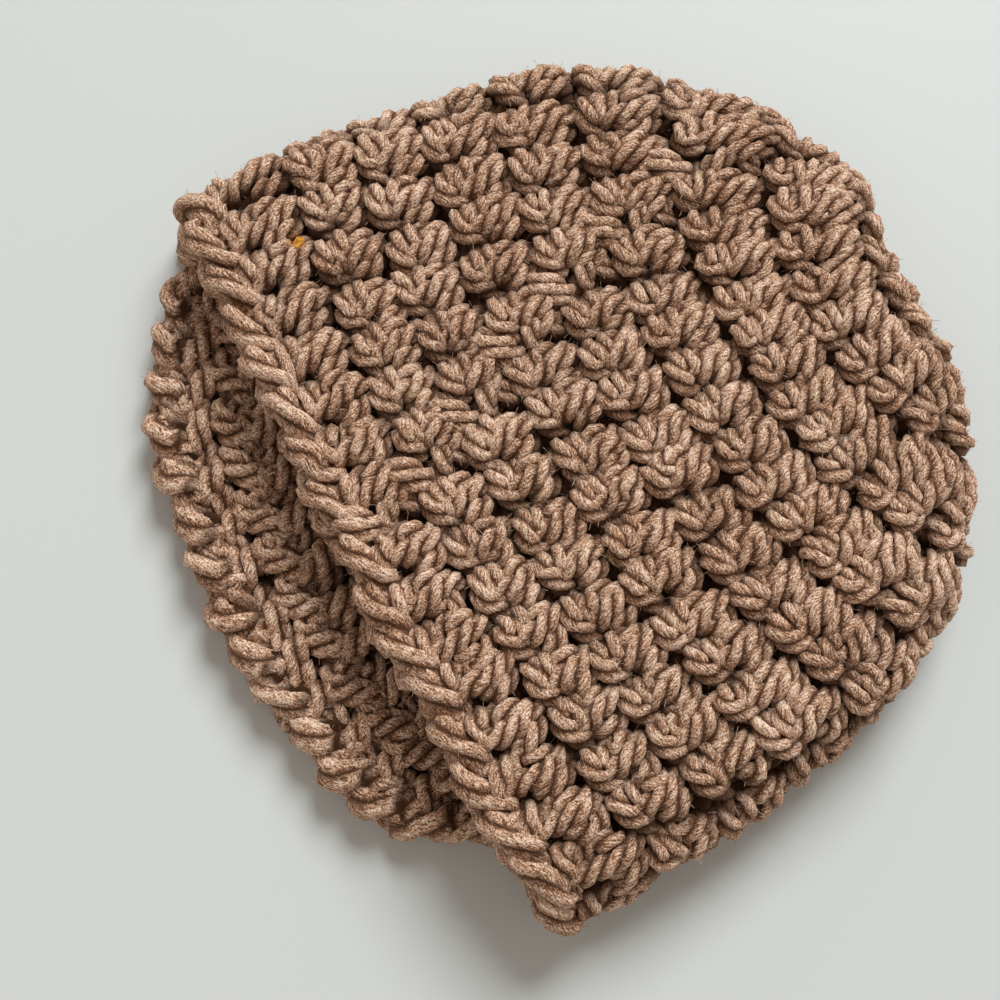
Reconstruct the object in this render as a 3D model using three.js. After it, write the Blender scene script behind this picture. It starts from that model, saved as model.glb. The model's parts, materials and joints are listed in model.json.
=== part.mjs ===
import * as THREE from 'three';

// A crocheted hat for a baby, in thick plied yarn, lying flattened on its back half.
// Lengths are millimetres. +Z is up, +Y runs from the mouth to the crown, +X runs along the mouth.
// The origin is on the surface that the hat lies on, under the middle of its outline.
// The hat is one continuous fabric, so it is one solid: a wall folded at both sides and at the crown,
// open at the mouth, with a raised rib for each crocheted round and a thicker edge at the rim.

// The fabric
const FABRIC_THICKNESS = 8.4;
const RIB_HEIGHT = 1.8;
const RIB_BELOW_FACE = 1;
const RIB_ROUNDNESS = 0.8;
const INSIDE_RIB_HEIGHT = 1.1;
const INSIDE_RIB_AT = 0.65;
const ROUND_COUNT = 10;
const EDGE_SHARE = 0.3;
const EDGE_OVERHANG = 3;

// How it lies
const FOLD_RADIUS = 8.3;
const LOWER_WALL_HEIGHT = 4.3;
const MOUTH_LIFT = 2.4;
const MOUTH_LIFT_ROUNDS = 4;
const FAR_FOLD_Y = 130;
const UPPER_BEND = 2.6;
const MIDDLE_OF_OUTLINE = { x: 0.09, y: 48.69 };

// The crown's last rounds are circles on the underside, about the point where the work began.
const CROWN_CENTRE = { x: 0, y: 113 };
const CROWN_LAST_RADIUS = 14;

// The lower layer comes out from under the upper one only past this stretch on the +X side.
const TUCK_FROM_X = 50;
const TUCK_TO_X = 70;

// The loops between rounds, along the middle of the wall: a row for each, from the rim inwards.
// right and left are where the loop turns over the side folds, and upperY and lowerY where it crosses
// the middle of the upper and the lower layer. A power of 2 makes an arc a parabola, a higher one makes
// it squarer. tuck is how far the +X end of the lower arc is drawn in, and bulge how far the lower arc
// spreads sideways past its ends, as rounds near the crown do.
const LOOP_COLUMNS = [
    'rightX', 'rightY', 'leftX', 'leftY', 'upperY', 'lowerY', 'rightPower', 'leftPower', 'tuck', 'bulge',
];
const LOOPS = [
    [83, 2, -82, 0, -2, -31.7, 2.2, 3.2, 1, 0],
    [83, 24, -83, 23, 15, -17, 2.3, 3, 0.55, 0],
    [82.5, 39, -81, 38, 28.6, -2.4, 2.4, 2.8, 0.2, 0],
    [79.5, 56, -78.5, 52, 42.8, 12.3, 2.5, 2.6, 0, 1],
    [75.5, 74, -76.5, 69, 57.9, 27, 2.5, 2.5, 0, 2],
    [69, 91.5, -72, 85, 72.4, 41.6, 2.5, 2.5, 0, 4],
    [58, 107, -62, 101.5, 87.4, 56.3, 2.6, 2.6, 0, 7],
    [40, 119, -44, 118.5, 104, 71, 2.8, 2.8, 0, 9.5],
    [20.5, 126.3, -23, 128, 119.8, 85.5, 3, 3, 0, 10],
].map((row) => Object.fromEntries(row.map((value, column) => [LOOP_COLUMNS[column], value])));

// Facets
const FACETS_AROUND = 72;
const EDGE_LEVELS = [0, 0.15, 0.3, 0.5, 0.7, 0.85];
const OUTSIDE_LEVELS_PER_ROUND = 4;
const INSIDE_LEVELS_PER_ROUND = 3;
const EDGE_CAP_ANGLES = [45, 0, -45];
const LOOP_SAMPLES = 360;
const OUTLINE_SAMPLES_PER_SPAN = 8;

function smoothStep(from, to, value) {
    const t = Math.min(1, Math.max(0, (value - from) / (to - from)));
    return t * t * (3 - 2 * t);
}

function mix(a, b, t) {
    return [0, 1, 2].map((axis) => a[axis] + t * (b[axis] - a[axis]));
}

// A smooth curve through four points in a row, between the second and the third.
function between(a, b, c, d, t) {
    const start = (c - a) / 2;
    const end = (d - b) / 2;
    const square = 3 * (c - b) - 2 * start - end;
    const cube = start + end - 2 * (c - b);
    return b + t * (start + t * (square + t * cube));
}

// The line of the folds seen from above, from the rim's +X end round the crown to its -X end.
function foldOutline() {
    const right = LOOPS.map((loop) => [loop.rightX, loop.rightY]);
    const left = LOOPS.map((loop) => [loop.leftX, loop.leftY]).reverse();
    const corners = [...right, [0, FAR_FOLD_Y], ...left];
    const last = corners.length - 1;
    const line = [];
    for (let span = 0; span < last; span += 1) {
        const around = [span - 1, span, span + 1, span + 2]
            .map((index) => corners[Math.min(last, Math.max(0, index))]);
        for (let step = 0; step < OUTLINE_SAMPLES_PER_SPAN; step += 1) {
            const t = step / OUTLINE_SAMPLES_PER_SPAN;
            line.push([0, 1].map((axis) => between(...around.map((corner) => corner[axis]), t)));
        }
    }
    line.push(corners[last]);
    return line;
}

const FOLD_LINE = foldOutline();

function distanceToFold(x, y) {
    let nearest = Infinity;
    for (let index = 1; index < FOLD_LINE.length; index += 1) {
        const [ax, ay] = FOLD_LINE[index - 1];
        const [bx, by] = FOLD_LINE[index];
        const [dx, dy] = [bx - ax, by - ay];
        const along = ((x - ax) * dx + (y - ay) * dy) / (dx * dx + dy * dy);
        const t = Math.min(1, Math.max(0, along));
        nearest = Math.min(nearest, Math.hypot(x - ax - t * dx, y - ay - t * dy));
    }
    return nearest;
}

// How far the wall has climbed from the middle of the fold, from 0 at the fold to 1 on the flat.
function rise(distance) {
    const t = Math.min(1, distance / FOLD_RADIUS);
    return Math.sqrt(2 * t - t * t);
}

function wallHeight(x, y, side) {
    return LOWER_WALL_HEIGHT + FOLD_RADIUS * (1 + side * rise(distanceToFold(x, y)));
}

// One loop of a folded round. turn goes from 0 at the middle of the upper layer, over the +X fold
// at a quarter, along the lower layer, and over the -X fold back to 1.
function foldedLoopPoint(round, turn) {
    const loop = LOOPS[round];
    const across = Math.sin(2 * Math.PI * turn);
    const upper = Math.cos(2 * Math.PI * turn) >= 0;
    const endX = across >= 0 ? loop.rightX : loop.leftX;
    const endY = across >= 0 ? loop.rightY : loop.leftY;
    const x = endX * Math.abs(across);
    if (upper) {
        const y = loop.upperY + (endY - loop.upperY) * Math.abs(across) ** UPPER_BEND;
        const nearMouth = Math.max(0, 1 - round / MOUTH_LIFT_ROUNDS) ** 2;
        const lift = MOUTH_LIFT * (1 - across * across) * nearMouth;
        return [x, y, wallHeight(x, y, 1) + lift];
    }
    const power = across >= 0 ? loop.rightPower : loop.leftPower;
    const drawnIn = loop.tuck * smoothStep(TUCK_FROM_X, TUCK_TO_X, x);
    const fill = (1 - Math.abs(across) ** power) * (1 - drawnIn);
    const y = endY + (loop.lowerY - endY) * fill;
    const spread = Math.sign(endX) * loop.bulge * Math.sin(4 * Math.PI * turn) ** 2;
    return [x + spread, y, wallHeight(x + spread, y, -1)];
}

function crownLoopPoint(round, turn) {
    const radius = CROWN_LAST_RADIUS * (ROUND_COUNT - round);
    const x = CROWN_CENTRE.x + radius * Math.sin(2 * Math.PI * turn);
    const y = CROWN_CENTRE.y + radius * Math.cos(2 * Math.PI * turn);
    return [x, y, wallHeight(x, y, -1)];
}

// The same loop as evenly spaced points, so that the stitches of a round are all one width.
function evenLoop(round) {
    const pointAt = round < LOOPS.length ? foldedLoopPoint : crownLoopPoint;
    const points = [];
    const lengths = [0];
    for (let step = 0; step <= LOOP_SAMPLES; step += 1) {
        points.push(pointAt(round, step / LOOP_SAMPLES));
        if (step > 0) {
            const [a, b] = [points[step - 1], points[step]];
            lengths.push(lengths[step - 1] + Math.hypot(b[0] - a[0], b[1] - a[1], b[2] - a[2]));
        }
    }
    const even = [];
    let step = 1;
    for (let facet = 0; facet < FACETS_AROUND; facet += 1) {
        const target = (lengths[LOOP_SAMPLES] * facet) / FACETS_AROUND;
        while (lengths[step] < target) {
            step += 1;
        }
        const gap = lengths[step] - lengths[step - 1];
        const t = gap > 0 ? (target - lengths[step - 1]) / gap : 0;
        even.push(mix(points[step - 1], points[step], t));
    }
    return even;
}

const EVEN_LOOPS = Array.from({ length: ROUND_COUNT + 1 }, (_, round) => evenLoop(round));

// The loops one round beyond each end, which the curve along a column of stitches needs.
function loopPoint(round, facet) {
    if (round < 0) {
        return mix(EVEN_LOOPS[1][facet], EVEN_LOOPS[0][facet], 2);
    }
    if (round > ROUND_COUNT) {
        return EVEN_LOOPS[ROUND_COUNT - 1][(facet + FACETS_AROUND / 2) % FACETS_AROUND];
    }
    return EVEN_LOOPS[round][facet];
}

// The middle of the wall at any level between the rim, 0, and the crown's centre, ROUND_COUNT.
function wallMiddle(level, facet) {
    const round = Math.min(ROUND_COUNT - 1, Math.floor(level));
    const column = [-1, 0, 1, 2].map((offset) => loopPoint(round + offset, facet));
    const along = (axis) => between(...column.map((point) => point[axis]), level - round);
    return new THREE.Vector3(along(0), along(1), along(2));
}

// The directions out of the fabric and along it toward the rim.
function wallFrame(level, facet) {
    const step = 0.02;
    const next = (facet + 1) % FACETS_AROUND;
    const previous = (facet + FACETS_AROUND - 1) % FACETS_AROUND;
    const around = wallMiddle(level, next).sub(wallMiddle(level, previous));
    const nearer = wallMiddle(Math.max(0, level - step), facet);
    const towardRim = nearer.sub(wallMiddle(level + step, facet)).normalize();
    const outward = new THREE.Vector3().crossVectors(towardRim, around).normalize();
    return { outward, towardRim };
}

// Each round stands out as a rib, with a groove where the next round is worked into it. The first
// round also carries the edge, a narrow rib of its own.
function outsideRelief(level) {
    const inEdge = level < EDGE_SHARE;
    const firstRound = inEdge
        ? (level + EDGE_SHARE) / (2 * EDGE_SHARE)
        : (level - EDGE_SHARE) / (1 - EDGE_SHARE);
    const share = level < 1 ? firstRound : level - Math.floor(level);
    return RIB_HEIGHT * Math.sin(Math.PI * share) ** RIB_ROUNDNESS - RIB_BELOW_FACE;
}

// Inside, the ribs are lower and lie nearer the crown side of each round.
function insideRelief(level) {
    return (INSIDE_RIB_HEIGHT / 2) * Math.cos(2 * Math.PI * (level - INSIDE_RIB_AT));
}

function surfacePoint(level, facet, side) {
    const { outward } = wallFrame(level, facet);
    const relief = side > 0 ? outsideRelief(level) : insideRelief(level);
    const point = wallMiddle(level, facet).addScaledVector(outward, side * (FABRIC_THICKNESS / 2 + relief));
    return layOnFloor(point);
}

function edgePoint(angle, facet) {
    const { outward, towardRim } = wallFrame(0, facet);
    const turn = THREE.MathUtils.degToRad(angle);
    const halfThickness = FABRIC_THICKNESS / 2 + outsideRelief(0);
    const point = wallMiddle(0, facet);
    point.addScaledVector(outward, halfThickness * Math.sin(turn));
    point.addScaledVector(towardRim, EDGE_OVERHANG * Math.cos(turn));
    return layOnFloor(point);
}

// The fabric is pressed flat where it touches the surface below.
function layOnFloor(point) {
    point.x -= MIDDLE_OF_OUTLINE.x;
    point.y -= MIDDLE_OF_OUTLINE.y;
    point.z = Math.max(0, point.z);
    return point;
}

function evenLevels(perRound) {
    const count = (ROUND_COUNT - 1) * perRound;
    return Array.from({ length: count }, (_, index) => 1 + index / perRound);
}

// The rings of the skin in order: down the outside from crown to rim, round the edge, and back up
// the inside to the crown.
function skinRings() {
    const outside = [...EDGE_LEVELS, ...evenLevels(OUTSIDE_LEVELS_PER_ROUND)].reverse();
    const inside = evenLevels(INSIDE_LEVELS_PER_ROUND);
    const insideEdge = EDGE_LEVELS.filter((_, index) => index % 2 === 0);
    return [
        ...outside.map((level) => (facet) => surfacePoint(level, facet, 1)),
        ...EDGE_CAP_ANGLES.map((angle) => (facet) => edgePoint(angle, facet)),
        ...[...insideEdge, ...inside].map((level) => (facet) => surfacePoint(level, facet, -1)),
    ];
}

function crownPole(side) {
    const point = new THREE.Vector3(CROWN_CENTRE.x, CROWN_CENTRE.y, LOWER_WALL_HEIGHT);
    const relief = side > 0 ? outsideRelief(ROUND_COUNT) : insideRelief(ROUND_COUNT);
    point.z -= side * (FABRIC_THICKNESS / 2 + relief);
    return layOnFloor(point);
}

function shellGeometry() {
    const rings = skinRings();
    const facets = Array.from({ length: FACETS_AROUND }, (_, facet) => facet);
    const vertices = rings.flatMap((ring) => facets.map(ring));
    const outerPole = vertices.push(crownPole(1)) - 1;
    const innerPole = vertices.push(crownPole(-1)) - 1;
    const corner = (ring, facet) => ring * FACETS_AROUND + (facet % FACETS_AROUND);
    const faces = [];
    for (let facet = 0; facet < FACETS_AROUND; facet += 1) {
        for (let ring = 0; ring + 1 < rings.length; ring += 1) {
            const [a, b] = [corner(ring, facet), corner(ring, facet + 1)];
            const [c, d] = [corner(ring + 1, facet + 1), corner(ring + 1, facet)];
            faces.push(a, c, b, a, d, c);
        }
        faces.push(outerPole, corner(0, facet), corner(0, facet + 1));
        const lastRing = rings.length - 1;
        faces.push(innerPole, corner(lastRing, facet + 1), corner(lastRing, facet));
    }
    const geometry = new THREE.BufferGeometry();
    const positions = vertices.flatMap((vertex) => vertex.toArray());
    geometry.setAttribute('position', new THREE.Float32BufferAttribute(positions, 3));
    geometry.setIndex(faces);
    geometry.computeVertexNormals();
    return geometry;
}

const yarn = new THREE.MeshStandardMaterial({ color: 0x96765f, roughness: 0.95, metalness: 0 });
const shell = new THREE.Mesh(shellGeometry(), yarn);
shell.name = 'crochet_shell';

const hat = new THREE.Group();
hat.add(shell);

export default hat;
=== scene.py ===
# %% [markdown]
# # A crocheted baby hat, stitch by stitch
# The real hat is one thick plied yarn, worked in rounds from the crown to the rim and then laid flat.
# The solid model gives its size and place. This lesson lays the yarn along that wall, loop by loop,
# so that the holes, the ribs and the braided edge come from the yarn itself and not from a picture.

# %% Load the solid model
import json
import math

import bpy
import numpy as np
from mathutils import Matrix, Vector

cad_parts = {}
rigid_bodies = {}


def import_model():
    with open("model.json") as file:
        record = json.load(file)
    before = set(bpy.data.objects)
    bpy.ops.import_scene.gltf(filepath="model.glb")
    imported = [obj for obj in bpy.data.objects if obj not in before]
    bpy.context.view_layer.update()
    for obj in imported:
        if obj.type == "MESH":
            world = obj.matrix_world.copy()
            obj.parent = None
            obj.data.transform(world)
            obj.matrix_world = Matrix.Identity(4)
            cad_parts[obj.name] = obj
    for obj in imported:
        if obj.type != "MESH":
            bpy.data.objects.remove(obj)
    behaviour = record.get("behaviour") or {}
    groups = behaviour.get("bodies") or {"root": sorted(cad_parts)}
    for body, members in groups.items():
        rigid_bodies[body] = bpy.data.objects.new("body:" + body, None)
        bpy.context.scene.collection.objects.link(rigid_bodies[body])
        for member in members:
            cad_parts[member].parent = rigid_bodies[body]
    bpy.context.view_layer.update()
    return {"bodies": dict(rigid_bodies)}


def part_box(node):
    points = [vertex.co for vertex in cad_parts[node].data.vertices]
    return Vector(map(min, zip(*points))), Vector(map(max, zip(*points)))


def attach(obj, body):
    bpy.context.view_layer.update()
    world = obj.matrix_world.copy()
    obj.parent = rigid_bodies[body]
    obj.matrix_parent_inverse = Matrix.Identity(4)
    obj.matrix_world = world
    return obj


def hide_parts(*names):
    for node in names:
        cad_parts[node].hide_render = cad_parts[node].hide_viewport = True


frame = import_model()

SHELL = "crochet_shell"
BODY = next(iter(frame["bodies"]))
MM = 0.001
FULL_TURN = 2 * math.pi

# %% [markdown]
# ## The wall that carries the stitches
# A hat that lies flat has two layers, joined by a fold at each side and at the crown. Its wall could be
# sculpted, but a rule is easier to check: each boundary between two rounds is a loop, which runs over
# the upper layer, round a fold, back along the lower layer and round the other fold. Nine such loops, a
# ring near the middle of the crown and that middle, with a smooth curve through them, give the middle of
# the fabric at any place. The sizes are those of the solid model, in millimetres.
#
# A row of the table is one loop. Right and left are where it turns at the two folds, upper and lower are
# where it crosses the middle of each layer, a power says how full its lower curve is on that side, tuck
# how far the lower layer is drawn in near the +X fold, and bulge how far it spreads past a plain curve.

# %% The loops between the rounds
ROUND_COUNT = 10
FOLD_RADIUS = 8.3
LOWER_WALL_HEIGHT = 4.3
MOUTH_LIFT = 2.4
MOUTH_LIFT_ROUNDS = 4
FAR_FOLD_Y = 130.0
UPPER_BEND = 2.6
MIDDLE_OF_OUTLINE = np.array([0.09, 48.69, 0.0])
CROWN_CENTRE = (0.0, 113.0)
CROWN_LAST_RADIUS = 14.0
TUCK_FROM_X = 50.0
TUCK_TO_X = 70.0
LOOP_COLUMNS = (
    "right_x", "right_y", "left_x", "left_y", "upper_y", "lower_y",
    "right_power", "left_power", "tuck", "bulge",
)
LOOPS = [dict(zip(LOOP_COLUMNS, row)) for row in (
    (83, 2, -82, 0, -2, -31.7, 2.2, 3.2, 1, 0),
    (83, 24, -83, 23, 15, -17, 2.3, 3, 0.55, 0),
    (82.5, 39, -81, 38, 28.6, -2.4, 2.4, 2.8, 0.2, 0),
    (79.5, 56, -78.5, 52, 42.8, 12.3, 2.5, 2.6, 0, 1),
    (75.5, 74, -76.5, 69, 57.9, 27, 2.5, 2.5, 0, 2),
    (69, 91.5, -72, 85, 72.4, 41.6, 2.5, 2.5, 0, 4),
    (58, 107, -62, 101.5, 87.4, 56.3, 2.6, 2.6, 0, 7),
    (40, 119, -44, 118.5, 104, 71, 2.8, 2.8, 0, 9.5),
    (20.5, 126.3, -23, 128, 119.8, 85.5, 3, 3, 0, 10),
)]


def smooth_step(low, high, value):
    t = np.clip((value - low) / (high - low), 0, 1)
    return t * t * (3 - 2 * t)


def between(a, b, c, d, t):
    """A smooth curve through four points in a row, between the second and the third."""
    start = (c - a) / 2
    end = (d - b) / 2
    square = 3 * (c - b) - 2 * start - end
    cube = start + end - 2 * (c - b)
    return b + t * (start + t * (square + t * cube))


print("loops", len(LOOPS), "widest", max(loop["right_x"] - loop["left_x"] for loop in LOOPS), "mm")

# %% [markdown]
# Seen from above, the folds make one line round the hat. A layer of real fabric doesn't crease there but
# turns over in a round bend, so the wall's height follows a quarter circle with the distance to that
# line, upward for the upper layer and downward for the lower one.

# %% The line of the folds, and the height of the wall near it
OUTLINE_SAMPLES_PER_SPAN = 8


def fold_outline():
    right = [(loop["right_x"], loop["right_y"]) for loop in LOOPS]
    left = [(loop["left_x"], loop["left_y"]) for loop in reversed(LOOPS)]
    corners = np.array([right[0], *right, (0.0, FAR_FOLD_Y), *left, left[-1]], float)
    line = []
    for span in range(len(corners) - 3):
        for step in range(OUTLINE_SAMPLES_PER_SPAN):
            line.append(between(*corners[span:span + 4], step / OUTLINE_SAMPLES_PER_SPAN))
    return np.array([*line, corners[-1]])


FOLD_LINE = fold_outline()


def distance_to_fold(x, y):
    points = np.stack([x, y], axis=-1)[:, None, :]
    start, step = FOLD_LINE[:-1], np.diff(FOLD_LINE, axis=0)
    along = ((points - start) * step).sum(-1) / (step * step).sum(-1)
    nearest = start + np.clip(along, 0, 1)[..., None] * step
    return np.linalg.norm(points - nearest, axis=-1).min(axis=1)


def wall_height(x, y, side):
    t = np.minimum(1, distance_to_fold(x, y) / FOLD_RADIUS)
    return LOWER_WALL_HEIGHT + FOLD_RADIUS * (1 + side * np.sqrt(2 * t - t * t))


print("fold line", len(FOLD_LINE), "points")

# %% [markdown]
# Stitches are equally wide wherever they lie. A loop's own rule packs its points close at the folds, so
# each loop is measured and cut again into equal steps, and a stitch is then a fixed share of the way
# round. One more loop past the rim and one past the crown let the smooth curve run on to both ends.

# %% Each loop as evenly spaced points
LOOP_SAMPLES = 720


def folded_loop(number, turn):
    """turn is 0 at the middle of the upper layer, a quarter at the +X fold and a half below."""
    loop = LOOPS[number]
    across = np.sin(FULL_TURN * turn)
    upper = np.cos(FULL_TURN * turn) >= 0
    right = across >= 0
    end_x = np.where(right, loop["right_x"], loop["left_x"])
    end_y = np.where(right, loop["right_y"], loop["left_y"])
    x = end_x * np.abs(across)
    lift = MOUTH_LIFT * (1 - across**2) * max(0, 1 - number / MOUTH_LIFT_ROUNDS) ** 2
    upper_y = loop["upper_y"] + (end_y - loop["upper_y"]) * np.abs(across) ** UPPER_BEND
    power = np.where(right, loop["right_power"], loop["left_power"])
    drawn_in = loop["tuck"] * smooth_step(TUCK_FROM_X, TUCK_TO_X, x)
    fill = (1 - np.abs(across) ** power) * (1 - drawn_in)
    lower_y = end_y + (loop["lower_y"] - end_y) * fill
    spread = np.sign(end_x) * loop["bulge"] * np.sin(2 * FULL_TURN * turn) ** 2
    x = np.where(upper, x, x + spread)
    y = np.where(upper, upper_y, lower_y)
    z = wall_height(x, y, np.where(upper, 1, -1)) + np.where(upper, lift, 0)
    return np.stack([x, y, z], axis=-1)


def crown_loop(number, turn):
    radius = CROWN_LAST_RADIUS * (ROUND_COUNT - number)
    x = CROWN_CENTRE[0] + radius * np.sin(FULL_TURN * turn)
    y = CROWN_CENTRE[1] + radius * np.cos(FULL_TURN * turn)
    return np.stack([x, y, wall_height(x, y, -1)], axis=-1)


def even_loop(number):
    turn = np.linspace(0, 1, LOOP_SAMPLES + 1)
    points = (folded_loop if number < len(LOOPS) else crown_loop)(number, turn)
    steps = np.linalg.norm(np.diff(points, axis=0), axis=1)
    lengths = np.concatenate([[0], np.cumsum(steps)])
    even = np.linspace(0, lengths[-1], LOOP_SAMPLES + 1)[:-1]
    return np.stack([np.interp(even, lengths, points[:, axis]) for axis in range(3)], axis=-1)


even_loops = [even_loop(number) for number in range(ROUND_COUNT + 1)]
past_rim = 2 * even_loops[0] - even_loops[1]
past_crown = np.roll(even_loops[ROUND_COUNT - 1], LOOP_SAMPLES // 2, axis=0)
WALL = np.array([past_rim, *even_loops, past_crown])
rim_steps = np.linalg.norm(np.diff(even_loops[0], axis=0), axis=1)
print("rim", round(rim_steps.sum()), "mm round")

# %% [markdown]
# Yarn lies in front of the fabric's middle, in it or behind it. A place is therefore given by the share
# of the way round, by the rounds counted from the rim, and by the millimetres outward. The way outward
# stands square on two short steps, one round the hat and one toward the rim. At the very middle of the
# crown the first of them shrinks to nothing, so there the way outward is taken a little nearer the rim.

# %% A place on the wall, in or out of the fabric
NORMAL_STEP_ROUND = 0.004
NORMAL_STEP_LEVEL = 0.03
POLE_LEVEL = 9.9
THIRD_ROUND_MIDDLE = 2.5
RIB_TOP = 5.0


def wall_middle(turn, level):
    """turn is the share of the way round, and level counts the rounds from the rim to the crown."""
    number = np.clip(np.floor(level), 0, ROUND_COUNT - 1).astype(int)
    column = (turn % 1) * LOOP_SAMPLES
    first = np.floor(column).astype(int)
    share = (column - first)[:, None]
    first = first % LOOP_SAMPLES
    second = (first + 1) % LOOP_SAMPLES
    near = [WALL[number + k, first] * (1 - share) + WALL[number + k, second] * share for k in range(4)]
    return between(*near, (level - number)[:, None])


def wall_point(turn, level, out):
    """A point in metres, out millimetres outward from the middle of the fabric, and the way outward."""
    turn, level, out = (np.asarray(value, float) for value in (turn, level, out))
    safe = np.minimum(level, POLE_LEVEL)
    around = wall_middle(turn + NORMAL_STEP_ROUND, safe) - wall_middle(turn - NORMAL_STEP_ROUND, safe)
    rimward = wall_middle(turn, safe - NORMAL_STEP_LEVEL) - wall_middle(turn, safe + NORMAL_STEP_LEVEL)
    outward = np.cross(rimward, around)
    outward /= np.linalg.norm(outward, axis=1, keepdims=True)
    place = (wall_middle(turn, level) + outward * out[:, None] - MIDDLE_OF_OUTLINE) * MM
    return place, outward


solid_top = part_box(SHELL)[1].z
on_third, outward_there = wall_point([0.0], [THIRD_ROUND_MIDDLE], [RIB_TOP])
print("top of the third round", round(on_third[0][2] / MM, 1), "mm, facing", outward_there[0].round(1))
print("top of the solid", round(solid_top / MM, 1), "mm")

# %% [markdown]
# ## The stitch
# Each stitch is a half double crochet. The yarn goes over the hook, down the back, through the fabric
# below, up and down the front as a V of two legs, and up the back again, and a loop drawn through all
# of it makes one link of the chain on top. A modelled bump would show one side only. The yarn's real
# route shows the right stitch from the front, the back and the edge, so the route is charted. A
# point says how far it lies to the right in stitch widths, up in round heights, and out in millimetres
# from the middle of the fabric, as seen from outside with the rim at the top. The next stitch lies to
# the left.

# %% The yarn's route through one stitch
CHAIN_FRONT = (
    (0.18, 0.82, -1.9), (0.45, 0.80, -1.2), (0.40, 0.70, -0.9), (0.27, 0.73, 0.8), (0.19, 0.80, 2.3),
    (0.03, 0.84, 3.1), (-0.14, 0.83, 3.0), (-0.30, 0.77, 2.0), (-0.46, 0.68, 0.4),
)
YARN_OVER = (
    (0.32, 0.67, -1.6), (0.28, 0.50, -1.2), (0.28, 0.49, 0.8), (0.21, 0.55, 2.3), (0.06, 0.60, 2.7),
    (-0.09, 0.63, 2.2), (-0.22, 0.67, 1.0), (-0.34, 0.77, -0.8),
)
THIRD_LOOP = (
    (-0.46, 0.94, -1.6), (-0.44, 1.08, -2.6), (-0.24, 1.10, -3.2), (0.02, 0.97, -3.4), (0.26, 0.82, -3.0),
    (0.42, 0.72, -1.8),
)
DOWN_THE_BACK = ((0.40, 0.72, -1.9), (0.36, 0.52, -2.8), (0.20, 0.30, -2.8), (0.05, 0.06, -1.0))
SHORT_LEG = (
    (0.03, -0.06, 0.2), (0.05, 0.06, 1.4), (0.11, 0.18, 2.3), (0.17, 0.31, 2.5), (0.20, 0.43, 1.3),
)
LONG_LEG = (
    (-0.12, 0.70, 0.6), (-0.20, 0.62, 1.8), (-0.20, 0.48, 2.9), (-0.15, 0.31, 3.3), (-0.09, 0.14, 2.9),
    (-0.05, 0.00, 1.4), (-0.10, -0.04, -0.6),
)
BETWEEN_POSTS = (
    (-0.30, 0.02, -0.4), (-0.41, 0.09, 1.6), (-0.50, 0.22, 2.5), (-0.50, 0.37, 1.4),
)
UP_THE_BACK = (
    (-0.36, 0.34, -0.9), (-0.24, 0.44, -1.3), (-0.16, 0.56, -1.4), (-0.20, 0.72, -1.0),
)
STITCH = (
    *YARN_OVER, *THIRD_LOOP, *DOWN_THE_BACK, *SHORT_LEG, *LONG_LEG, *BETWEEN_POSTS, *UP_THE_BACK,
    *CHAIN_FRONT,
)
print("points in a stitch", len(STITCH))

# %% [markdown]
# The last round has nothing worked into it, so its chain lies open as a braid along the rim, and its
# inner bar is short. It could share the other rounds' chart, but then the rim would look cut off, so it
# has a chain of its own, which leans over the edge and comes back behind it.

# %% The route through a stitch of the rim
RIM_BAR_RISE = 0.10
RIM_YARN_OVER = tuple((right, up + RIM_BAR_RISE, out) for right, up, out in YARN_OVER)
RIM_CHAIN_FRONT = (
    (0.12, 0.80, -0.5), (0.40, 0.90, -0.4), (0.53, 0.99, 0.8), (0.38, 1.01, 2.4), (0.04, 0.95, 3.2),
    (-0.30, 0.86, 2.8), (-0.48, 0.80, 0.8),
)
RIM_CHAIN_BACK = (
    (-0.56, 0.90, -0.6), (-0.48, 0.99, -2.0), (-0.24, 0.95, -3.1), (0.04, 0.82, -3.4), (0.30, 0.68, -3.0),
    (0.44, 0.62, -1.6),
)
RIM_THIRD_LOOP = ((-0.28, 0.86, -0.5), (0.00, 0.80, -0.3), (0.28, 0.76, -0.6))
RIM_STITCH = (
    *RIM_YARN_OVER, *RIM_THIRD_LOOP, *DOWN_THE_BACK, *SHORT_LEG, *LONG_LEG, *BETWEEN_POSTS, *UP_THE_BACK,
    *RIM_CHAIN_FRONT, *RIM_CHAIN_BACK,
)
print("points in a rim stitch", len(RIM_STITCH))

# %% [markdown]
# Each round is closed with a slip stitch and a chain before the next one begins. The join pulls the
# fabric up into a slanting knot with a hole beside it, and because the first stitch leans, the joins
# drift sideways from round to round. The real hat shows them as a slanting line down its front, so the
# route starts every round with a knot of its own in a wider space. A knot's first column is the share
# of that space. For each round from the rim, the room is given in stitch widths, and the place of the
# join across the hat in millimetres.

# %% The knot at a join
JOIN = (
    (0.1, 0.30, -2.2), (1.0, 0.34, -2.4), (0.4, 0.12, -1.4), (0.1, 0.04, 0.6), (0.5, 0.12, 1.7),
    (1.0, 0.14, 0.8), (0.7, 0.26, -1.2), (0.0, 0.42, 0.2), (0.1, 0.50, 1.6), (0.6, 0.42, 2.2),
    (1.1, 0.30, 1.2), (1.2, 0.22, -0.6), (0.6, 0.50, -1.6), (-0.1, 0.70, 0.4), (0.1, 0.78, 2.2),
    (0.6, 0.90, 3.1), (1.1, 1.00, 2.6), (1.4, 1.03, 0.8), (1.0, 1.05, -1.0), (0.3, 0.95, -1.2),
    (-0.3, 0.84, 1.0), (0.1, 0.94, 2.8), (0.6, 1.06, 3.2), (1.1, 1.13, 2.2), (1.2, 1.10, 0.0),
    (0.5, 0.90, -1.8), (0.0, 0.75, -1.8),
)
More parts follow.
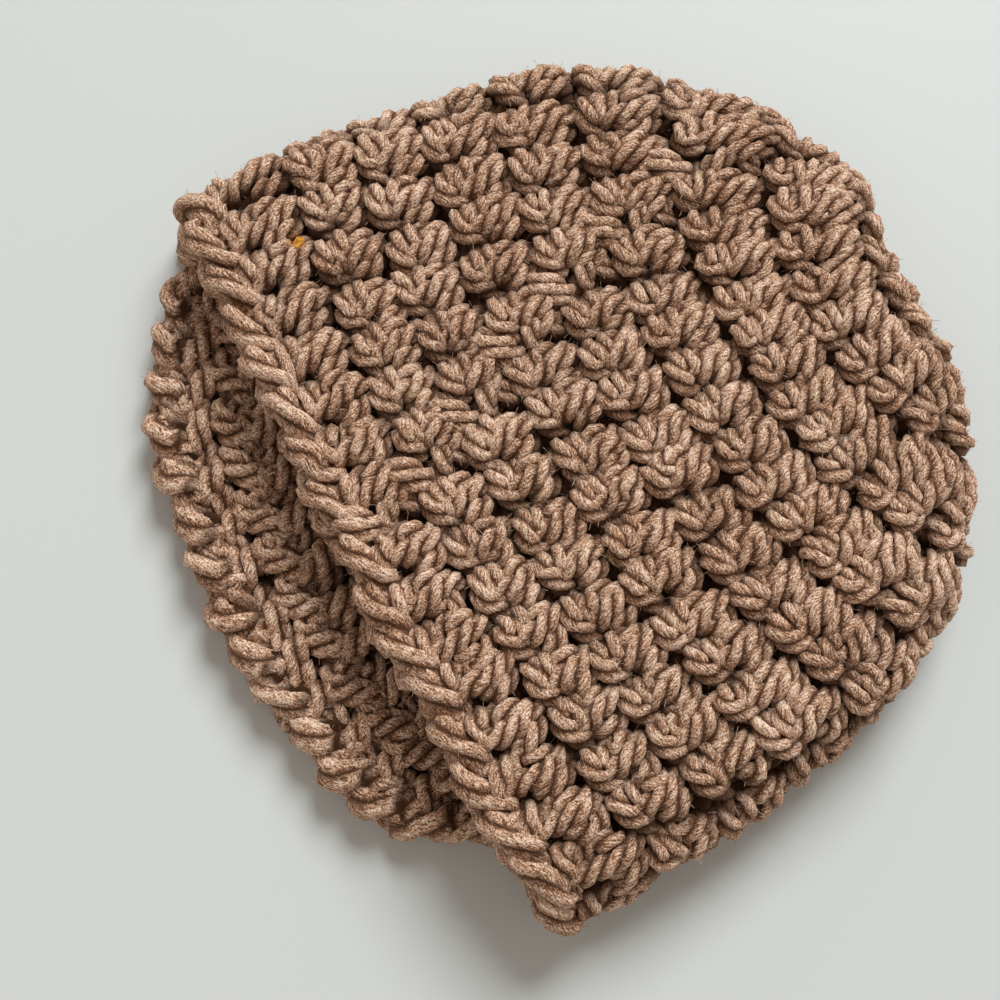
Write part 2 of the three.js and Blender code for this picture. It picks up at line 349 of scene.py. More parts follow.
JOIN_ROOM = (0.35, 0.42, 0.42, 0.42, 0.42, 0.42, 0.42, 0.35, 0.3, 0.0)
RIM_JOIN_DROP = 0.2
RIM_JOIN_DROP_FROM = 0.6
JOIN_X = (-3, -8, -15, -24, -30, -36, -40, -34, -16, -6)
TURN_STEP = 0.001


def turn_at(number, x):
    """Where round number crosses x on the upper layer, as a share of the way round."""
    turns = np.arange(0, 1, TURN_STEP)
    places = wall_middle(turns, np.full(turns.shape, number + 0.5))
    upper = places[:, 2] > places[:, 2].mean()
    return turns[np.where(upper, np.abs(places[:, 0] - x), np.inf).argmin()]


print("points in a knot", len(JOIN))

# %% [markdown]
# A round is one knot and then one stitch after another. Exact copies of one stitch would look made by a
# machine. A hand pulls every loop a little differently, so each point strays at random, from a fixed
# seed. The yarn also changes on its way: it is thin where it is pulled through the fabric, fills the
# room behind it, and lies thicker and straighter in the rim's chain. Those changes travel with the route.

# %% The route round a whole round
STITCHES = (36, 36, 36, 36, 36, 36, 36, 27, 18, 9)
POINTS_PER_SPAN = 5

# The round in the middle of the crown stops short of it, which leaves the small hole of a real hat
CROWN_SQUEEZE = 0.72

# How far a point and a whole stitch stray, in stitch widths, round heights and millimetres
HAND_SEED = 18
HAND_WOBBLE = (0.035, 0.022, 0.22)
STITCH_WOBBLE = (0.05, 0.03, 0.25)

# How the yarn thins where it enters the fabric and swells behind it, and the millimetres in one twist
PULLED_TIGHT = 0.2
TIGHT_REACH = 0.14
BACK_SWELL = 0.24
BACK_FROM = -1.5
TWIST_LENGTH = 11.5

# The rim's open chain is thicker, less twisted, and counts as lying well outside the fabric, so that
# no painted depth shade darkens it
CHAIN_FROM = 0.74
CHAIN_SWELL = 0.16
CHAIN_TWIST = 0.4
CHAIN_DEPTH = 8.5


def smooth_through(corners):
    padded = np.concatenate([corners[:1], corners, corners[-1:]])
    steps = np.arange(POINTS_PER_SPAN)[:, None, None] / POINTS_PER_SPAN
    curve = between(padded[:-3], padded[1:-2], padded[2:-1], padded[3:], steps)
    return curve.transpose(1, 0, 2).reshape(-1, corners.shape[1])


def round_route(number):
    """Along one round's yarn: its place, the way and the millimetres outward, its thickness and twist."""
    count = STITCHES[number]
    chart = np.array(RIM_STITCH if number == 0 else STITCH)
    hand = np.random.default_rng(HAND_SEED + number)
    stitches = np.repeat(chart[None], count, axis=0)
    stitches += hand.normal(0, 1, (count, 1, 3)) * STITCH_WOBBLE
    stitches += hand.normal(0, 1, stitches.shape) * HAND_WOBBLE
    stitches[..., 0] -= np.arange(count)[:, None]
    room = JOIN_ROOM[number]
    join = np.array(JOIN)
    join[:, 0] = 0.5 + join[:, 0] * room
    if number == 0:
        join[:, 1] -= RIM_JOIN_DROP * (join[:, 1] > RIM_JOIN_DROP_FROM)
    right, up, out = np.concatenate([join, stitches.reshape(-1, 3)]).T
    turn = turn_at(number, JOIN_X[number]) + (0.5 + room / 2 - right) / (count + room)
    level = number + 1 - up
    if number == ROUND_COUNT - 1:
        level = number + (1 - up) * CROWN_SQUEEZE
    edge = (number == 0) & (up > CHAIN_FROM)
    thick = 1 - PULLED_TIGHT * np.exp(-((up / TIGHT_REACH) ** 2))
    thick += BACK_SWELL * (out < BACK_FROM) + CHAIN_SWELL * edge
    depth = np.where(edge, CHAIN_DEPTH, out)
    rate = np.where(edge, CHAIN_TWIST, 1.0)
    route = smooth_through(np.column_stack([*wall_point(turn, level, out), depth, thick, rate]))
    place, outward = route[:, :3], route[:, 3:6]
    depth, thick, rate = route[:, 6:].T
    steps = np.linalg.norm(np.diff(place, axis=0), axis=1) / MM
    twist = np.concatenate([[0], np.cumsum(steps * rate[1:])]) * FULL_TURN / TWIST_LENGTH
    return {"place": place, "outward": outward, "depth": depth, "thick": thick, "twist": twist}


def length_of(path):
    return np.linalg.norm(np.diff(path, axis=0), axis=1).sum()


routes = [round_route(number) for number in range(ROUND_COUNT)]
yarn_length = sum(length_of(route["place"]) for route in routes)
print("yarn", round(yarn_length, 1), "m in", sum(STITCHES), "stitches")

# %% [markdown]
# ## The yarn
# The yarn is three soft plies twisted together. A plain tube would look like cord. A lobed section that
# turns as it is drawn along the route gives real plies with grooves between them. Geometry Nodes suit
# this, because one rule follows every route. The tree also presses the yarn nearly flat where it meets
# the surface below, and keeps what would lie deepest the lowest, so that no two faces share a plane. It
# stores three attributes that the material reads: how deep in a groove a point is, how far it lies from
# the middle of the fabric, and a place on the fibres, which run straight along the yarn while the plies
# wind round it.

# %% [markdown]
# Trees of nodes are long to write out one by one. Two small classes keep them readable: one adds a node
# and fills its sockets in a single line, and one lets plain arithmetic stand for Math nodes.

# %% Two small helpers for node trees


class Tree:
    """Builds a node tree. One method adds a node, with its settings first and then its sockets, which
    are given by name, or as n0, n1 and so on by place."""

    def __init__(self, tree):
        self.tree = tree

    def add(self, kind, settings=None, **values):
        node = self.tree.nodes.new(kind)
        for name, value in (settings or {}).items():
            setattr(node, name, value)
        for name, value in values.items():
            self.feed(self.socket(node.inputs, name), value)
        return node

    def socket(self, sockets, name):
        if name.startswith("n") and name[1:].isdigit():
            return sockets[int(name[1:])]
        wanted = name.replace("_", " ").lower()
        return next(s for s in sockets if s.enabled and s.name.lower() == wanted)

    def feed(self, socket, value):
        if isinstance(value, Value):
            value = value.socket
        if isinstance(value, bpy.types.NodeSocket):
            self.tree.links.new(value, socket)
        else:
            socket.default_value = value

    def out(self, node, name=None):
        found = self.socket(node.outputs, name) if name else next(s for s in node.outputs if s.enabled)
        return Value(self, found)

    def store(self, geometry, name, value, kind="FLOAT"):
        settings = {"data_type": kind, "domain": "POINT"}
        node = self.add("GeometryNodeStoreNamedAttribute", settings, geometry=geometry, name=name)
        self.feed(self.socket(node.inputs, "Value"), value)
        return node.outputs[0]

    def named(self, name):
        return self.out(self.add("GeometryNodeInputNamedAttribute", {"data_type": "FLOAT"}, name=name))


class Value:
    """A number in a tree. Arithmetic on it adds Math nodes."""

    def __init__(self, tree, socket):
        self.tree = tree
        self.socket = socket

    def math(self, operation, *others, clamp=False):
        kind = "ShaderNodeMath"
        node = self.tree.add(kind, {"operation": operation, "use_clamp": clamp}, n0=self)
        for index, other in enumerate(others):
            self.tree.feed(node.inputs[index + 1], other)
        return self.tree.out(node)

    def clamped(self):
        return self.math("ADD", 0.0, clamp=True)

    def __add__(self, other):
        return self.math("ADD", other)

    __radd__ = __add__

    def __mul__(self, other):
        return self.math("MULTIPLY", other)

    __rmul__ = __mul__

    def __sub__(self, other):
        return self.math("SUBTRACT", other)

    def __rsub__(self, other):
        return (self * -1.0) + other

    def __truediv__(self, other):
        return self.math("DIVIDE", other)


print("helpers ready")

# %% [markdown]
# Soft yarn has loose fibres that stand off it and blur its outline. Hair curves could show them,
# but only meshes are kept, so each is a thin three-sided stick on a random place of the yarn, with the
# painted highlight of a ply's crest. There are only as many as the outline needs, because they add up
# fast.

# %% Loose fibres that stand off the yarn
FUZZ_PER_SQUARE_METRE = 58000.0
FUZZ_SEED = 7
FUZZ_THICKNESS = 0.035 * MM
FUZZ_SIDES = 3
FUZZ_ENDS = ((0.0, 0.0, -0.3), (0.7, 0.2, 1.0))
FUZZ_SIZE = (0.4, 1.6)
# The loose fibres get the painted highlight of a ply's crest, and lie far enough out for little painted
# depth shade
FUZZ_CREST_HIGHLIGHT = 1.0
FUZZ_OPEN = 4.0


def loose_fibres(t, surface, count, seed):
    start, end = ([MM * part for part in point] for point in FUZZ_ENDS)
    line = t.add("GeometryNodeCurvePrimitiveLine", start=start, end=end)
    ring = t.add("GeometryNodeCurvePrimitiveCircle", {"mode": "RADIUS"}, resolution=FUZZ_SIDES)
    t.feed(ring.inputs["Radius"], FUZZ_THICKNESS)
    hair = t.add("GeometryNodeCurveToMesh", curve=line.outputs[0], profile_curve=ring.outputs[0])
    t.feed(t.socket(hair.inputs, "Fill Caps"), True)
    pale = t.store(t.store(hair.outputs[0], "ply", FUZZ_CREST_HIGHLIGHT), "open", FUZZ_OPEN)
    spots = t.add("GeometryNodeDistributePointsOnFaces", mesh=surface, density=count, seed=seed)
    single = {"data_type": "FLOAT"}
    aim = t.add("FunctionNodeAlignRotationToVector", {"axis": "Z"}, vector=spots.outputs["Normal"])
    around = t.out(t.add("FunctionNodeRandomValue", single, min=0.0, max=FULL_TURN, seed=seed))
    turned = t.add("FunctionNodeRotateRotation", {"rotation_space": "LOCAL"}, rotation=aim.outputs[0])
    t.feed(turned.inputs["Rotate By"], t.add("ShaderNodeCombineXYZ", z=around).outputs[0])
    low, high = FUZZ_SIZE
    size = t.out(t.add("FunctionNodeRandomValue", single, min=low, max=high, seed=seed + 1.0))
    placed = t.add("GeometryNodeInstanceOnPoints", points=spots.outputs["Points"], instance=pale)
    t.feed(placed.inputs["Rotation"], turned.outputs[0])
    t.feed(placed.inputs["Scale"], size)
    return t.add("GeometryNodeRealizeInstances", geometry=placed.outputs[0]).outputs[0]


print("loose fibres up to", round(max(FUZZ_SIZE) * math.dist(*FUZZ_ENDS), 1), "mm long")

# %% [markdown]
# Cut across, the real yarn shows three round plies pressed together. Three tubes wound round each other
# could be drawn, but many of their faces would lie hidden inside. One outline with three lobes has only
# the faces that show, and it has corners in the grooves, so these stay sharp.

# %% The section of the yarn
YARN_RADIUS = 2.84 * MM
PLY_COUNT = 3
PLY_APART = 0.86
SECTION_SIDES = 9


def ply_section(t, radius, plies, apart):
    """Round plies side by side seen end on, with the groove between two of them on a corner."""
    circle = t.add("GeometryNodeCurvePrimitiveCircle", {"mode": "RADIUS"}, resolution=SECTION_SIDES)
    t.feed(circle.inputs["Radius"], radius)
    index = t.out(t.add("GeometryNodeInputIndex"))
    angle = index * (FULL_TURN / SECTION_SIDES)
    from_crest = ((plies * index / SECTION_SIDES).math("FRACT") - 0.5) / plies * FULL_TURN
    aside = apart * from_crest.math("SINE")
    reach = apart * from_crest.math("COSINE") + (1.0 - aside * aside).math("SQRT")
    place = t.add("GeometryNodeInputPosition")
    scaled = t.add("ShaderNodeVectorMath", {"operation": "SCALE"}, n0=place.outputs[0])
    t.feed(t.socket(scaled.inputs, "Scale"), reach / (apart + 1.0))
    section = t.add("GeometryNodeSetPosition", geometry=circle.outputs[0], position=scaled.outputs[0])
    # The crest value sets the painted highlight on a ply and the painted shade in the grooves beside it
    crest = (plies * from_crest).math("COSINE")
    return t.store(t.store(section.outputs[0], "ply", crest), "angle", angle)


print("yarn", round(2 * YARN_RADIUS / MM, 2), "mm across its", PLY_COUNT, "plies")

# %% [markdown]
# The tree makes the yarn in four moves, and each has a function of its own: the route is spun into
# uneven yarn, its points are marked for the material, the loose fibres are added, and what would sink
# into the surface is laid on it.
#
# Spinning comes first. The route is cut into even steps, so that straight and bent places get faces of
# one length. Real yarn is never quite even, so the section swells and shrinks a little on its way.

# %% Spin a route into yarn
YARN_STEP = 1.2 * MM

# The spun yarn is uneven: by this share to each side, over this length
SWELL = 0.10
SWELL_LENGTH = 9.0 * MM


def spun(t, route, step, section):
    """The section drawn along the route. Each point keeps how far along it lies and its middle."""
    line = t.add("GeometryNodeMeshToCurve", mesh=route)
    fine = t.add("GeometryNodeResampleCurve", {"mode": "LENGTH"}, curve=line.outputs[0])
    t.feed(fine.inputs["Length"], step)
    along = t.out(t.add("GeometryNodeSplineParameter"), "Length")
    kept = t.store(fine.outputs[0], "along", along)
    kept = t.store(kept, "middle", t.add("GeometryNodeInputPosition").outputs[0], "FLOAT_VECTOR")
    tilted = t.add("GeometryNodeSetCurveTilt", curve=kept, tilt=t.named("twist") * -1.0)
    uneven = t.add("ShaderNodeTexNoise", {"noise_dimensions": "1D"}, w=along / SWELL_LENGTH, scale=1.0)
    body = t.add("GeometryNodeCurveToMesh", curve=tilted.outputs[0], profile_curve=section)
    swell = (t.out(uneven) - 0.5) * (2 * SWELL) + 1.0
    t.feed(t.socket(body.inputs, "Scale"), swell * t.named("thick"))
    t.feed(t.socket(body.inputs, "Fill Caps"), True)
    return body.outputs[0]


print("yarn in steps of", round(YARN_STEP / MM, 2), "mm")

# %% [markdown]
# A real stitch lies in shade where it dives into the fabric, and that shade is painted into its colour.
# Its fibres show as fine lines along it. A picture wrapped round the yarn would need a seam and a flat
# layout. Two values kept on each point do without both: the distance from the fabric's middle, which sets
# the painted shade, and a place round and along the yarn.

# %% Mark the yarn for its material


def marked(t, body, radius):
    """fibre is a place along the fibres, and open the distance from the fabric's middle."""
    spin = t.named("angle") - t.named("twist")
    fibre = t.add("ShaderNodeCombineXYZ", x=spin.math("COSINE"), y=spin.math("SINE"))
    t.feed(fibre.inputs["Z"], t.named("along") / radius)
    yarn = t.store(body, "fibre", fibre.outputs[0], "FLOAT_VECTOR")
    here = t.add("GeometryNodeInputPosition").outputs[0]
    vector = {"data_type": "FLOAT_VECTOR"}
    middle = t.add("GeometryNodeInputNamedAttribute", vector, name="middle").outputs[0]
    outward = t.add("GeometryNodeInputNamedAttribute", vector, name="outward").outputs[0]
    aside = t.add("ShaderNodeVectorMath", {"operation": "SUBTRACT"}, n0=here, n1=middle)
    lift = t.add("ShaderNodeVectorMath", {"operation": "DOT_PRODUCT"}, n0=aside.outputs[0], n1=outward)
    depth = t.named("depth") + t.out(lift, "Value") / MM
    # The distance from the fabric's middle sets the painted shade deep in the fabric
    return t.store(yarn, "open", depth.math("ABSOLUTE"))


print("marks: fibre, open")

# %% [markdown]
# The real hat rests on its lowest loops, and they flatten under it. Cutting them off at the surface
# would leave many faces in one plane, which show as dark spots. Pressing them keeps a thin share of
# their height, and so their order.

# %% Lay the yarn on the surface below
# Yarn that would sink into the surface keeps this share of its height, counted from this far below it
PRESSED_DEPTH = 3.2 * MM
PRESSED_SHARE = 0.03


def laid(t, yarn, floor):
    place = t.add("ShaderNodeSeparateXYZ", n0=t.add("GeometryNodeInputPosition").outputs[0])
    rest = t.add("ShaderNodeCombineXYZ", x=place.outputs["X"], y=place.outputs["Y"])
    above = t.out(place, "Z") - floor
    pressed = ((above + PRESSED_DEPTH) * PRESSED_SHARE).math("MAXIMUM", 0.0)
    t.feed(rest.inputs["Z"], above.math("MAXIMUM", pressed) + floor)
    return t.add("GeometryNodeSetPosition", geometry=yarn, position=rest.outputs[0]).outputs[0]


print("pressed to at most", round(PRESSED_DEPTH * PRESSED_SHARE / MM, 2), "mm over the surface")

# %% [markdown]
# The moves come together in one tree. The sizes could be fixed inside it, but as inputs they can be
# changed for a thinner or a looser yarn without a look at the nodes.

# %% The tree that turns a route into plied yarn
TREE_INPUTS = {
    "Yarn Radius": ("NodeSocketFloat", YARN_RADIUS),
    "Ply Count": ("NodeSocketInt", PLY_COUNT),
    "Ply Apart": ("NodeSocketFloat", PLY_APART),
    "Step": ("NodeSocketFloat", YARN_STEP),
    "Floor": ("NodeSocketFloat", 0.0),
    "Fuzz Count": ("NodeSocketFloat", FUZZ_PER_SQUARE_METRE),
    "Fuzz Seed": ("NodeSocketInt", FUZZ_SEED),
    "Material": ("NodeSocketMaterial", None),
}


def input_of(tree, name, kind, value=None):
    made = tree.interface.new_socket(name, in_out="INPUT", socket_type=kind)
    if value is not None:
        made.default_value = value
    return made.identifier


def plied_yarn_tree():
    tree = bpy.data.node_groups.new("plied_yarn", "GeometryNodeTree")
    input_of(tree, "Route", "NodeSocketGeometry")
    found = {name: input_of(tree, name, kind, value) for name, (kind, value) in TREE_INPUTS.items()}
    tree.interface.new_socket("Yarn", in_out="OUTPUT", socket_type="NodeSocketGeometry")
    t = Tree(tree)
    given = t.add("NodeGroupInput")
    radius = t.out(given, "Yarn Radius")
    section = ply_section(t, radius, t.out(given, "Ply Count"), t.out(given, "Ply Apart"))
    body = spun(t, given.outputs["Route"], t.out(given, "Step"), section)
    yarn = marked(t, body, radius)
    fuzz = loose_fibres(t, yarn, t.out(given, "Fuzz Count"), t.out(given, "Fuzz Seed"))
    both = t.add("GeometryNodeJoinGeometry")
    t.feed(both.inputs[0], yarn)
    t.feed(both.inputs[0], fuzz)
    rested = laid(t, both.outputs[0], t.out(given, "Floor"))
    smooth = t.add("GeometryNodeSetShadeSmooth", geometry=rested, shade_smooth=True)
    real = t.add("GeometryNodeRealizeInstances", geometry=smooth.outputs[0])
    dressed = t.add("GeometryNodeSetMaterial", geometry=real.outputs[0])
    t.feed(dressed.inputs["Material"], t.out(given, "Material"))
    t.add("NodeGroupOutput", n0=dressed.outputs[0])
    return tree, found


yarn_tree, yarn_inputs = plied_yarn_tree()
print("inputs of the yarn tree:", ", ".join(yarn_inputs))

# %% [markdown]
# ## The finish
# The yarn is a matte fibre in a warm grey brown. Single fibres are lighter or darker than their
# neighbours, the crests of the plies catch the light, and the grooves between them lie in a brown shade.
# One colour all over would look like plastic, so each of these has a tone of its own, and the material
# mixes them. The highlight on the crests and the shade in the grooves are painted into the colour.

# %% The yarn's tones, with its painted highlight and shade
YARN_TONE = (0.50, 0.268, 0.163)
# Pale and dark fibres are the yarn's own streaks, and also the painted highlight on ply crests and
# painted shade on their sides
PALE_FIBRE_AND_HIGHLIGHT = (0.98, 0.76, 0.60)
DARK_FIBRE_AND_SHADE = (0.105, 0.042, 0.020)
# A dark brown painted shade for the grooves between plies and for yarn deep in the fabric
PAINTED_GROOVE_SHADE = (0.050, 0.019, 0.008)
FLECK_TONES = ((0.36, 0.13, 0.012), (0.92, 0.42, 0.04))

# A Mix node has sockets for every kind of value, and these are the ones for colours
MIX_COLOURS = (6, 7)
MIX_RESULT = 2


def mixed(t, share, first, second):
    node = t.add("ShaderNodeMix", {"data_type": "RGBA"})
    t.feed(node.inputs["Factor"], share)
    for index, tone in zip(MIX_COLOURS, (first, second)):
        t.feed(node.inputs[index], (*tone, 1.0) if isinstance(tone, tuple) else tone)
    return node.outputs[MIX_RESULT]


print("yarn tone", YARN_TONE)

# %% [markdown]
# Up close the yarn is streaked along its length, fluffy all over, and a little lighter or darker from
# place to place. A picture could be laid on it, but would bring its own light and seams. Three noises do
# the same: one on the fibre attribute, stretched along the yarn so that it reads as fibres, and two on
# Object coordinates, a fine one of a few tenths of a millimetre and a slow one of about a stitch.

# %% The pattern of fibres, fluff and slow changes
FIBRE_STRETCH = (1.0, 1.0, 0.3)
FIBRE_NOISE = {"scale": 8.5, "detail": 3.0, "distortion": 0.8}
SLOW_NOISE = {"scale": 70.0, "detail": 1.0}
FLUFF_NOISE = {"scale": 2800.0, "detail": 2.0}
FIBRE_SHARE = 4.0
FLUFF_SHARE = 3.4
SLOW_SHARE = 0.9


def fibre_pattern(t, fibre, place):
    """The noise along the fibres, the noise of the fluff, and all of it as a streak about zero."""
    stretched = t.add("ShaderNodeMapping", n0=fibre)
    stretched.inputs["Scale"].default_value = FIBRE_STRETCH
    strand = t.out(t.add("ShaderNodeTexNoise", vector=stretched.outputs[0], **FIBRE_NOISE))
    slowly = t.out(t.add("ShaderNodeTexNoise", vector=place, **SLOW_NOISE))
    fluffy = t.out(t.add("ShaderNodeTexNoise", vector=place, **FLUFF_NOISE))
    streak = (strand - 0.5) * FIBRE_SHARE + (fluffy - 0.5) * FLUFF_SHARE + (slowly - 0.5) * SLOW_SHARE
    return strand, fluffy, streak


print("noise for the fibres", FIBRE_NOISE)

# %% [markdown]
# One stitch near the rim has a small orange fleck, a few dyed fibres that were spun in. It could be a
# piece of its own, but it doesn't stand off the yarn, so it is a tone at that place, and the fluff's
# noise frays its edge.

# %% The orange fleck
FLECK_AT = (-0.0637, -0.0314, 0.0261)
FLECK_RADIUS = 2.1 * MM

# How ragged its outline is, how sharply it ends, and how its two tones are streaked
FLECK_RAGGED = 6.0
FLECK_EDGE = 4.0
FLECK_STREAK = 5.0
FLECK_STREAK_FROM = 2.0


def with_fleck(t, tone, place, strand, fluffy):
    away = t.add("ShaderNodeVectorMath", {"operation": "DISTANCE"}, n0=place, n1=FLECK_AT)
    inside = fluffy * FLECK_RAGGED + 1.0 - t.out(away, "Value") / FLECK_RADIUS * FLECK_EDGE
    spot = mixed(t, (strand * FLECK_STREAK - FLECK_STREAK_FROM).clamped(), *FLECK_TONES)
    return mixed(t, inside.clamped(), tone, spot)


print("fleck", round(2 * FLECK_RADIUS / MM, 1), "mm across")

# %% [markdown]
# The material puts this together. Streaks take the tone toward the pale fibres or the dark ones, and
# ply crests take it the same way as a painted highlight, with painted shade on their sides. Grooves and
# the middle of the fabric take it to a painted shade, and the same noises roughen the light as a bump. A
# soft sheen stands for the fluff that is too fine to draw.

# %% The yarn's material
SOFT_SHINE = {
    "Roughness": 0.95,
    "Specular IOR Level": 0.12,
    "Sheen Weight": 0.35,
    "Sheen Roughness": 0.5,
    "Sheen Tint": (0.9, 0.58, 0.4, 1.0),
}
TONE_CONTRAST = 1.2
# How strongly ply crests get a painted highlight and their sides painted shade
CREST_PAINTED_LIGHT = 1.2
CREST_MIDDLE = 0.60

# Between the plies, and near the middle of the fabric, where shade falls, the tone goes over to a dark
# painted shade
GROOVE_EDGE = 3.0
GROOVE_LEAST = 0.03
OPEN_FROM = 1.5
OPEN_SPAN = 3.3
OPEN_LEAST = 0.05
BUMP = {"strength": 0.8, "distance": 0.4 * MM}
BUMP_FIBRE = 0.8
BUMP_FLUFF = 0.7


def yarn_material():
    material = bpy.data.materials.new("plied_yarn")
    material.use_nodes = True
    material.node_tree.nodes.clear()
    t = Tree(material.node_tree)
    shader = t.add("ShaderNodeBsdfPrincipled")
    for name, value in SOFT_SHINE.items():
        t.feed(t.socket(shader.inputs, name), value)
    fibre, ply, depth = (
        t.add("ShaderNodeAttribute", {"attribute_type": "GEOMETRY", "attribute_name": name})
        for name in ("fibre", "ply", "open")
    )
    place = t.add("ShaderNodeTexCoord").outputs["Object"]
    strand, fluffy, streak = fibre_pattern(t, fibre.outputs["Vector"], place)
    # Ply crests get a painted highlight and their sides painted shade, on top of the fibres' own streaks
    crest = t.out(ply, "Fac") * 0.5 + 0.5
    fibre_streak_and_crest_light = streak * TONE_CONTRAST + (crest - CREST_MIDDLE) * CREST_PAINTED_LIGHT
    tone = mixed(t, fibre_streak_and_crest_light.clamped(), YARN_TONE, PALE_FIBRE_AND_HIGHLIGHT)
    tone = mixed(t, (fibre_streak_and_crest_light * -1.0).clamped(), tone, DARK_FIBRE_AND_SHADE)
    # Painted shade: the grooves between plies and yarn near the fabric's middle go dark
    unshaded_by_groove = (crest * GROOVE_EDGE + GROOVE_LEAST).math("MINIMUM", 1.0)
    unshaded_by_depth = ((t.out(depth, "Fac") - OPEN_FROM) / OPEN_SPAN + OPEN_LEAST).clamped()
    tone = mixed(t, unshaded_by_groove * unshaded_by_depth, PAINTED_GROOVE_SHADE, tone)
    t.feed(shader.inputs["Base Color"], with_fleck(t, tone, place, strand, fluffy))
    bump = t.add("ShaderNodeBump", height=strand * BUMP_FIBRE + fluffy * BUMP_FLUFF, **BUMP)
    t.feed(shader.inputs["Normal"], bump.outputs[0])
    t.add("ShaderNodeOutputMaterial", surface=shader.outputs[0])
    return material


yarn = yarn_material()
print("material", yarn.name)

# %% [markdown]
# ## Drawing the yarn
# The hat could be one object, but a round is the maker's own unit and keeps each piece light. A route
# becomes a line of points that carry its depth, thickness and twist. The tree turns it into yarn once,
# and the result is kept as a plain mesh.

# %% Draw the yarn of every round


def route_object(name, route):
    mesh = bpy.data.meshes.new(name)
    edges = [(index, index + 1) for index in range(len(route["place"]) - 1)]
    mesh.from_pydata([tuple(point) for point in route["place"]], edges, [])
    for attribute in ("depth", "thick", "twist"):
        mesh.attributes.new(attribute, "FLOAT", "POINT").data.foreach_set("value", route[attribute])
    outward = mesh.attributes.new("outward", "FLOAT_VECTOR", "POINT")
    outward.data.foreach_set("vector", route["outward"].ravel())
    made = bpy.data.objects.new(name, mesh)
    bpy.context.scene.collection.objects.link(made)
    return made


def draw_yarn(name, route):
    made = route_object(name, route)
    nodes = made.modifiers.new("yarn", "NODES")
    nodes.node_group = yarn_tree
    nodes[yarn_inputs["Material"]] = yarn
    bpy.context.view_layer.update()
    seen = made.evaluated_get(bpy.context.evaluated_depsgraph_get())
    mesh = bpy.data.meshes.new_from_object(seen)
    made.modifiers.clear()
    made.data = mesh
    mesh.name = name
    return made


rounds = []
for number, route in enumerate(routes):
    piece = draw_yarn(f"round_{ROUND_COUNT - number:02d}", route)
    rounds.append(piece)
    print(piece.name, sum(len(face.vertices) - 2 for face in piece.data.polygons), "triangles")

# %% [markdown]
# On the real hat all rounds are one yarn. Here they ride on the one body and stand together in the
# place of the solid shell, which is hidden.

# %% Tie the yarn to the solid model
for piece in rounds:
    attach(piece, BODY)
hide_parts(SHELL)
print("pieces", len(rounds))

# %% [markdown]
# ## The floor, the light and the camera
# The hat lies on a plain pale surface. A plane much wider than the picture shows no edge in it, and a
# faint cloud in its tone keeps it from looking empty.

# %% The floor
FLOOR_SIZE = 6.0
FLOOR_TONE = (0.68, 0.70, 0.695)
FLOOR_SHADE = 0.97
FLOOR_ROUGHNESS = 0.5
FLOOR_CLOUD = {"scale": 3.0, "detail": 2.0}


def floor_material():
    material = bpy.data.materials.new("pale_surface")
    material.use_nodes = True
    t = Tree(material.node_tree)
    shader = material.node_tree.nodes["Principled BSDF"]
    place = t.add("ShaderNodeTexCoord")
    cloud = t.add("ShaderNodeTexNoise", vector=place.outputs["Object"], **FLOOR_CLOUD)
    darker = tuple(FLOOR_SHADE * part for part in FLOOR_TONE)
    t.feed(shader.inputs["Base Color"], mixed(t, t.out(cloud), darker, FLOOR_TONE))
    shader.inputs["Roughness"].default_value = FLOOR_ROUGHNESS
    return material


bpy.ops.mesh.primitive_plane_add(size=FLOOR_SIZE)
ground = bpy.context.object
ground.name = "floor"
ground.data.materials.append(floor_material())
print("floor", FLOOR_SIZE, "m")

# %% [markdown]
# The photograph has soft daylight from beyond the crown, on the -X side. A small lamp would draw hard
# shadows, so one large soft lamp stands there, a weak one fills from the other side, and the world gives
# the rest. The shadows are a little warmer than the light, so the lamp is cooler than the world.

# %% The light
KEY = {
    "azimuth": 222, "elevation": 45, "distance": 6.0,
    "size": 3.2, "power": 350.0, "tone": (0.94, 0.99, 1.0),
}
FILL = {
    "azimuth": 20, "elevation": 50, "distance": 1.8,
    "size": 1.4, "power": 1.5, "tone": (1.0, 0.95, 0.88),
}
WORLD_TONE = (0.98, 0.89, 0.79)
WORLD_STRENGTH = 0.35


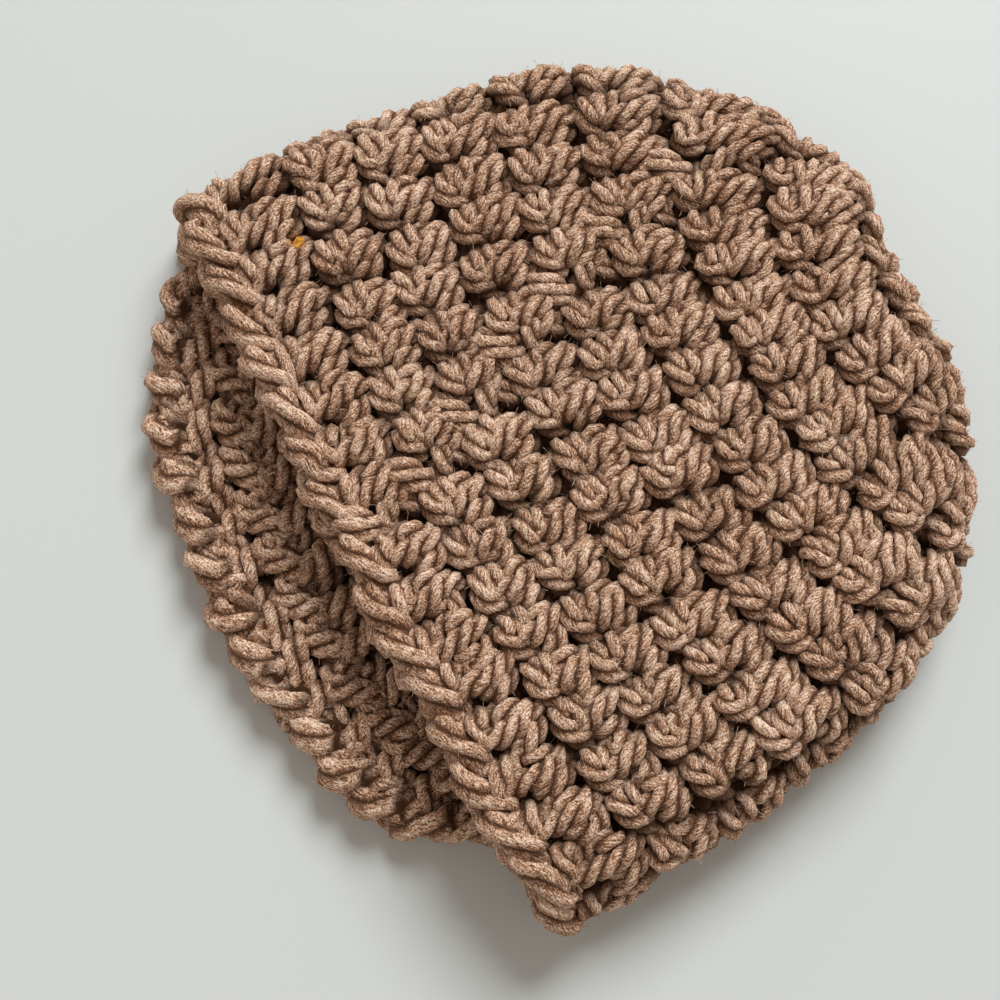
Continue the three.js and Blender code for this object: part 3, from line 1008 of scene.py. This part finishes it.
def direction(azimuth, elevation):
    """From the hat toward a viewer. Azimuth 0 stands in front of the mouth, and 90 at +X."""
    a, e = math.radians(azimuth), math.radians(elevation)
    return Vector((math.sin(a) * math.cos(e), -math.cos(a) * math.cos(e), math.sin(e)))


def soft_lamp(name, azimuth, elevation, distance, size, power, tone):
    data = bpy.data.lights.new(name, "AREA")
    data.shape = "DISK"
    data.size = size
    data.energy = power
    data.color = tone
    lamp = bpy.data.objects.new(name, data)
    toward = direction(azimuth, elevation)
    lamp.location = toward * distance
    lamp.rotation_euler = toward.to_track_quat("Z", "Y").to_euler()
    bpy.context.scene.collection.objects.link(lamp)
    return lamp


soft_lamp("key", **KEY)
soft_lamp("fill", **FILL)
world = bpy.data.worlds.new("daylight")
world.use_nodes = True
sky = world.node_tree.nodes["Background"]
sky.inputs["Color"].default_value = (*WORLD_TONE, 1)
sky.inputs["Strength"].default_value = WORLD_STRENGTH
bpy.context.scene.world = world
bpy.context.scene.view_settings.view_transform = "Standard"
print("key lamp from azimuth", KEY["azimuth"])

# %% [markdown]
# The photograph looks down steeply, from the +X side and a little in front of the mouth. The lens could
# be guessed, but it is worked out from the width of the picture at the hat, so that the camera's distance
# changes the perspective and not the size.

# %% The camera
CAMERA_AZIMUTH = 63.1
CAMERA_ELEVATION = 80.0
CAMERA_DISTANCE = 0.36
PICTURE_WIDTH = 0.2128
SENSOR = 36.0
LOOK_AT = Vector((0.0024, -0.0175, 0.010))


def photo_camera():
    data = bpy.data.cameras.new("photo")
    data.sensor_width = SENSOR
    data.lens = SENSOR * CAMERA_DISTANCE / PICTURE_WIDTH
    camera = bpy.data.objects.new("photo", data)
    back = direction(CAMERA_AZIMUTH, CAMERA_ELEVATION)
    camera.location = LOOK_AT + back * CAMERA_DISTANCE
    camera.rotation_euler = back.to_track_quat("Z", "Y").to_euler()
    bpy.context.scene.collection.objects.link(camera)
    bpy.context.scene.camera = camera
    return camera


print("lens", round(photo_camera().data.lens, 1), "mm")

# %% [markdown]
# ## The sizes
# The yarn has to keep to the solid's place and size. Loops stand a few millimetres proud of the solid's
# ribs, as real stitches stand proud of the fabric's middle.

# %% Bring the scene up to date
bpy.context.view_layer.update()
